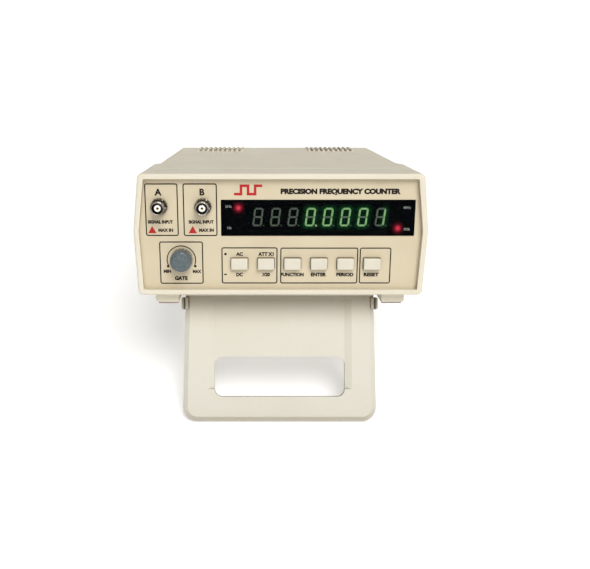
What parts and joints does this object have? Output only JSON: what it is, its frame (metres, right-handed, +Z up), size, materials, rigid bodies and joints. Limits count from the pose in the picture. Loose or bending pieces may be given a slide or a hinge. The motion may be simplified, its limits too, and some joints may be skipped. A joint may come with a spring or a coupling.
{
  "type": "frequency counter",
  "caption": "Bench frequency counter in a beige two-part case on a folding bail, with bayonet channel sockets, a seven-segment display, a gate knob and push keys.",
  "frame": {"origin": "on the bench, under the middle of the box round the counter as it stands on its bail", "axes": "+X to the right of the front panel, +Y to the rear, +Z up; the case leans back 21.2 degrees"},
  "size_m": [0.215, 0.3102, 0.1783],
  "materials": {
    "case_plastic": "warm beige moulded plastic with a fine spark texture",
    "bail_plastic": "pale beige moulded plastic, slightly smoother than the case",
    "panel_plastic": "cream panel with a fine matt grain",
    "window_acrylic": "smoked green clear acrylic, polished",
    "rear_plate": "beige painted steel sheet",
    "pad_rubber": "grey-brown soft rubber",
    "knob_plastic": "blue-grey fluted knob with a satin crown",
    "button_plastic": "off-white keys with a soft gloss",
    "switch_plastic": "black switch moulding",
    "nickel_plate": "bright nickel plate with light tarnish in the corners",
    "shaft_steel": "turned steel",
    "white_dielectric": "white waxy fluoropolymer",
    "contact_gold": "gold-flashed contact",
    "digit_face": "black digit module faces with green segments",
    "lamp_red": "diffused red lamp bodies",
    "board_laminate": "green solder-masked glass laminate",
    "black_moulding": "black moulded plastic",
    "fuse_glass": "clear glass tube",
    "tin_plate": "tin-plated sheet",
    "transformer_core": "varnished laminations",
    "sink_aluminium": "extruded aluminium",
    "capacitor_sleeve": "blue-black sleeve",
    "ribbon_grey": "grey ribbon insulation",
    "lead_sheath": "black sheath"
  },
  "bodies": {
    "case": {"front_frame": "case_plastic", "top_cover": "case_plastic", "bottom_cover": "case_plastic", "front_panel": "panel_plastic", "display_window": "window_acrylic", "rear_panel": "rear_plate", "front_foot_left": "case_plastic", "rear_foot_left": "case_plastic", "front_foot_right": "case_plastic", "rear_foot_right": "case_plastic", "foot_pads": "pad_rubber", "gate_potentiometer": "nickel_plate", "potentiometer_nut": "nickel_plate", "switch_housings": "switch_plastic", "socket_a_barrel": "nickel_plate", "socket_a_insulator": "white_dielectric", "socket_a_contact": "contact_gold", "socket_b_barrel": "nickel_plate", "socket_b_insulator": "white_dielectric", "socket_b_contact": "contact_gold", "socket_nuts": "nickel_plate", "socket_washers": "nickel_plate", "digit_module_left": "digit_face", "digit_module_right": "digit_face", "indicator_lamps": "lamp_red", "display_board": "board_laminate", "mains_inlet": "black_moulding", "inlet_blades": "nickel_plate", "power_switch": "black_moulding", "fuse_holder": "black_moulding", "main_board": "board_laminate", "screening_can": "tin_plate", "crystal_oscillator": "tin_plate", "counter_chip": "black_moulding", "mains_transformer": "transformer_core", "heat_sink": "sink_aluminium", "smoothing_capacitors": "capacitor_sleeve", "ribbon_cable": "ribbon_grey", "input_leads": "lead_sheath", "case_screws": "shaft_steel", "board_screws": "shaft_steel"},
    "bail": {"bail_stand": "bail_plastic"},
    "gate_control": {"gate_knob": "knob_plastic", "gate_shaft": "shaft_steel"},
    "rocker": {"power_rocker": "black_moulding"},
    "fuse_carrier": {"fuse_cap": "black_moulding", "fuse": "fuse_glass"},
    "coupling_key": {"coupling_button": "button_plastic", "coupling_plunger": "switch_plastic"},
    "attenuator_key": {"attenuator_button": "button_plastic", "attenuator_plunger": "switch_plastic"},
    "function_key": {"function_button": "button_plastic", "function_plunger": "switch_plastic"},
    "enter_key": {"enter_button": "button_plastic", "enter_plunger": "switch_plastic"},
    "period_key": {"period_button": "button_plastic", "period_plunger": "switch_plastic"},
    "reset_key": {"reset_button": "button_plastic", "reset_plunger": "switch_plastic"}
  },
  "joints": [
    {"name": "bail_fold", "type": "hinge", "parent": "case", "child": "bail", "pos_m": [0, -0.09432, 0.08186], "axis": [1, 0, 0], "range_deg": [0, 105.7]},
    {"name": "gate_turn", "type": "hinge", "parent": "case", "child": "gate_control", "pos_m": [-0.073, -0.10262, 0.11854], "axis": [0, 0.9323, -0.3616], "range_deg": [-150, 150]},
    {"name": "power_rock", "type": "hinge", "parent": "case", "child": "rocker", "pos_m": [0.024, 0.12916, 0.03196], "axis": [1, 0, 0], "range_deg": [-20, 0]},
    {"name": "fuse_cap_turn", "type": "hinge", "parent": "case", "child": "fuse_carrier", "pos_m": [-0.006, 0.13186, 0.03092], "axis": [0, 0.9323, -0.3616], "range_deg": [0, 90]},
    {"name": "coupling_press", "type": "slide", "parent": "case", "child": "coupling_key", "axis": [0, 0.9323, -0.3616], "range_m": [0, 0.003], "stiffness_N_per_m": 300, "springref_m": -0.001},
    {"name": "attenuator_press", "type": "slide", "parent": "case", "child": "attenuator_key", "axis": [0, 0.9323, -0.3616], "range_m": [0, 0.003], "stiffness_N_per_m": 300, "springref_m": -0.001},
    {"name": "function_press", "type": "slide", "parent": "case", "child": "function_key", "axis": [0, 0.9323, -0.3616], "range_m": [0, 0.003], "stiffness_N_per_m": 300, "springref_m": -0.001},
    {"name": "enter_press", "type": "slide", "parent": "case", "child": "enter_key", "axis": [0, 0.9323, -0.3616], "range_m": [0, 0.003], "stiffness_N_per_m": 300, "springref_m": -0.001},
    {"name": "period_press", "type": "slide", "parent": "case", "child": "period_key", "axis": [0, 0.9323, -0.3616], "range_m": [0, 0.003], "stiffness_N_per_m": 300, "springref_m": -0.001},
    {"name": "reset_press", "type": "slide", "parent": "case", "child": "reset_key", "axis": [0, 0.9323, -0.3616], "range_m": [0, 0.003], "stiffness_N_per_m": 300, "springref_m": -0.001}
  ]
}
